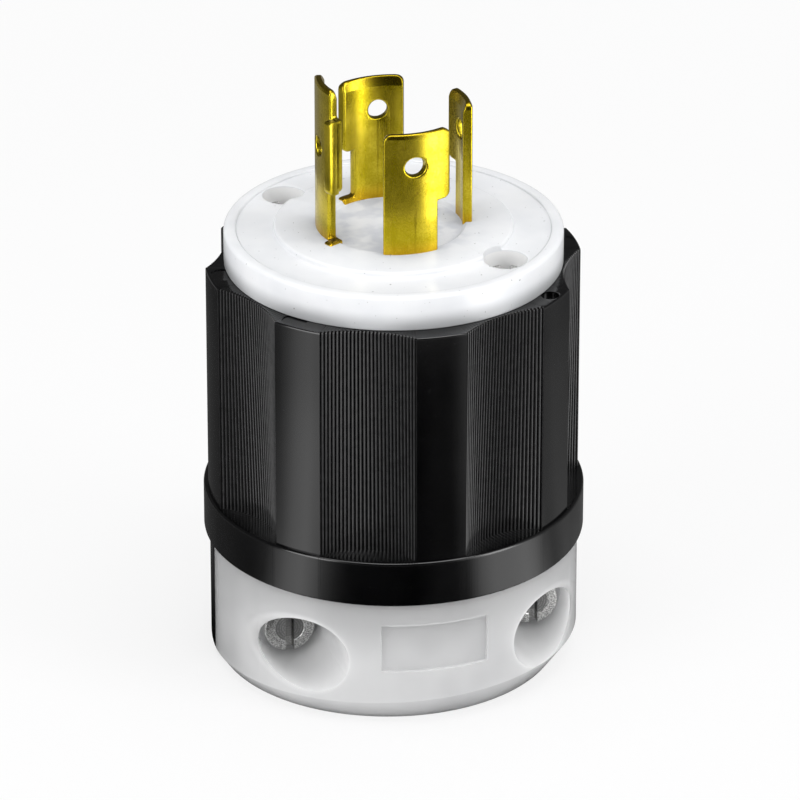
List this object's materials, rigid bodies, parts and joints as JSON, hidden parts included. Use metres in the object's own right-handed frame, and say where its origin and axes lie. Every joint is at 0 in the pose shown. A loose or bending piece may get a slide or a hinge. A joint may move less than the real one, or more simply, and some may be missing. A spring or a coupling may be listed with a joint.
{
  "type": "locking power plug",
  "caption": "Twist-locking power plug with curved brass blades, a ribbed black grip, a white face and a screw-down cord clamp.",
  "frame": {"origin": "middle of the base, on the plane that it rests on", "axes": "+Z along the plug's axis towards the blades, -Y out of the pale half of the cord clamp, -X towards the earth blade"},
  "size_m": [0.0508, 0.0508, 0.0831],
  "materials": {
    "black_nylon": "satin moulded",
    "white_nylon": "glossy moulded",
    "clear_nylon": "glossy, slightly translucent",
    "blade_brass": "rolled sheet, bright",
    "brass": "machined",
    "steel": "zinc plated",
    "black_rubber": "matt"
  },
  "bodies": {
    "root": {"assembly_screw_front": "steel", "assembly_screw_rear": "steel", "blade_earth": "blade_brass", "blade_line_front": "blade_brass", "blade_line_rear": "blade_brass", "blade_neutral": "blade_brass", "clamp_nut_left": "steel", "clamp_nut_right": "steel", "clamp_screw_left": "steel", "clamp_screw_right": "steel", "cord_clamp": "clear_nylon", "dust_shield": "black_rubber", "face": "white_nylon", "housing": "black_nylon", "insert_front": "brass", "insert_rear": "brass", "terminal_block": "white_nylon", "terminal_plate_earth": "brass", "terminal_plate_line_front": "brass", "terminal_plate_line_rear": "brass", "terminal_plate_neutral": "brass", "terminal_screw_earth": "brass", "terminal_screw_line_front": "brass", "terminal_screw_line_rear": "brass", "terminal_screw_neutral": "brass"}
  },
  "joints": []
}
